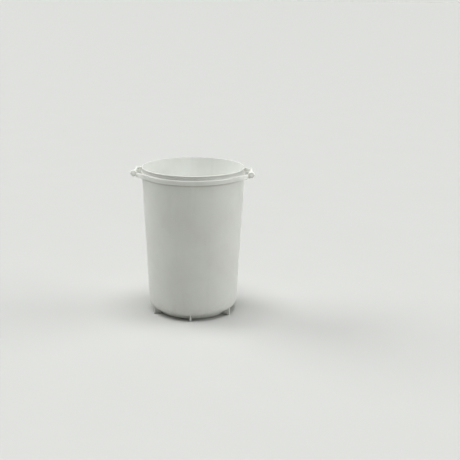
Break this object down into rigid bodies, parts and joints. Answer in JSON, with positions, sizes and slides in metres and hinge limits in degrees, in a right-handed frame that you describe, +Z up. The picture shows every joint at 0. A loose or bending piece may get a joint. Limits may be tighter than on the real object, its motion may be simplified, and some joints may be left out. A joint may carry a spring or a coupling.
{
  "type": "florist bucket",
  "caption": "Tall tapered round plastic bucket with a slim lip, a collar below it, side loop handles with turning grips, and radial fin feet round a foot ring.",
  "frame": {"origin": "on the floor under the middle of the tub, at the bottom centre of the bounding box", "axes": "+Z up along the tub's axis, the handles on the X axis, -Y towards the front foot"},
  "size_m": [0.478, 0.406, 0.58],
  "materials": {
    "white_plastic": "satin",
    "spindle_steel": "brushed"
  },
  "bodies": {
    "bucket": {"bucket_shell": "white_plastic", "collar_ring": "white_plastic", "foot_ring": "white_plastic", "foot_fin_1": "white_plastic", "foot_fin_2": "white_plastic", "foot_fin_3": "white_plastic", "foot_fin_4": "white_plastic", "foot_fin_5": "white_plastic", "foot_fin_6": "white_plastic", "handle_arm_right_front": "white_plastic", "handle_arm_right_back": "white_plastic", "handle_arm_left_front": "white_plastic", "handle_arm_left_back": "white_plastic", "handle_rib_right": "white_plastic", "handle_rib_left": "white_plastic", "grip_spindle_right": "spindle_steel", "grip_spindle_left": "spindle_steel", "end_cap_right": "white_plastic", "end_cap_left": "white_plastic"},
    "right_front_roll": {"grip_roll_right_front": "white_plastic"},
    "right_back_roll": {"grip_roll_right_back": "white_plastic"},
    "left_front_roll": {"grip_roll_left_front": "white_plastic"},
    "left_back_roll": {"grip_roll_left_back": "white_plastic"}
  },
  "joints": [
    {"name": "right_front_roll_spin", "type": "hinge", "parent": "bucket", "child": "right_front_roll", "pos_m": [0.226, -0.0255, 0.559], "axis": [0, 1, 0], "continuous": true},
    {"name": "right_back_roll_spin", "type": "hinge", "parent": "bucket", "child": "right_back_roll", "pos_m": [0.226, 0.0285, 0.559], "axis": [0, 1, 0], "continuous": true},
    {"name": "left_front_roll_spin", "type": "hinge", "parent": "bucket", "child": "left_front_roll", "pos_m": [-0.226, -0.0255, 0.559], "axis": [0, 1, 0], "continuous": true},
    {"name": "left_back_roll_spin", "type": "hinge", "parent": "bucket", "child": "left_back_roll", "pos_m": [-0.226, 0.0285, 0.559], "axis": [0, 1, 0], "continuous": true}
  ]
}
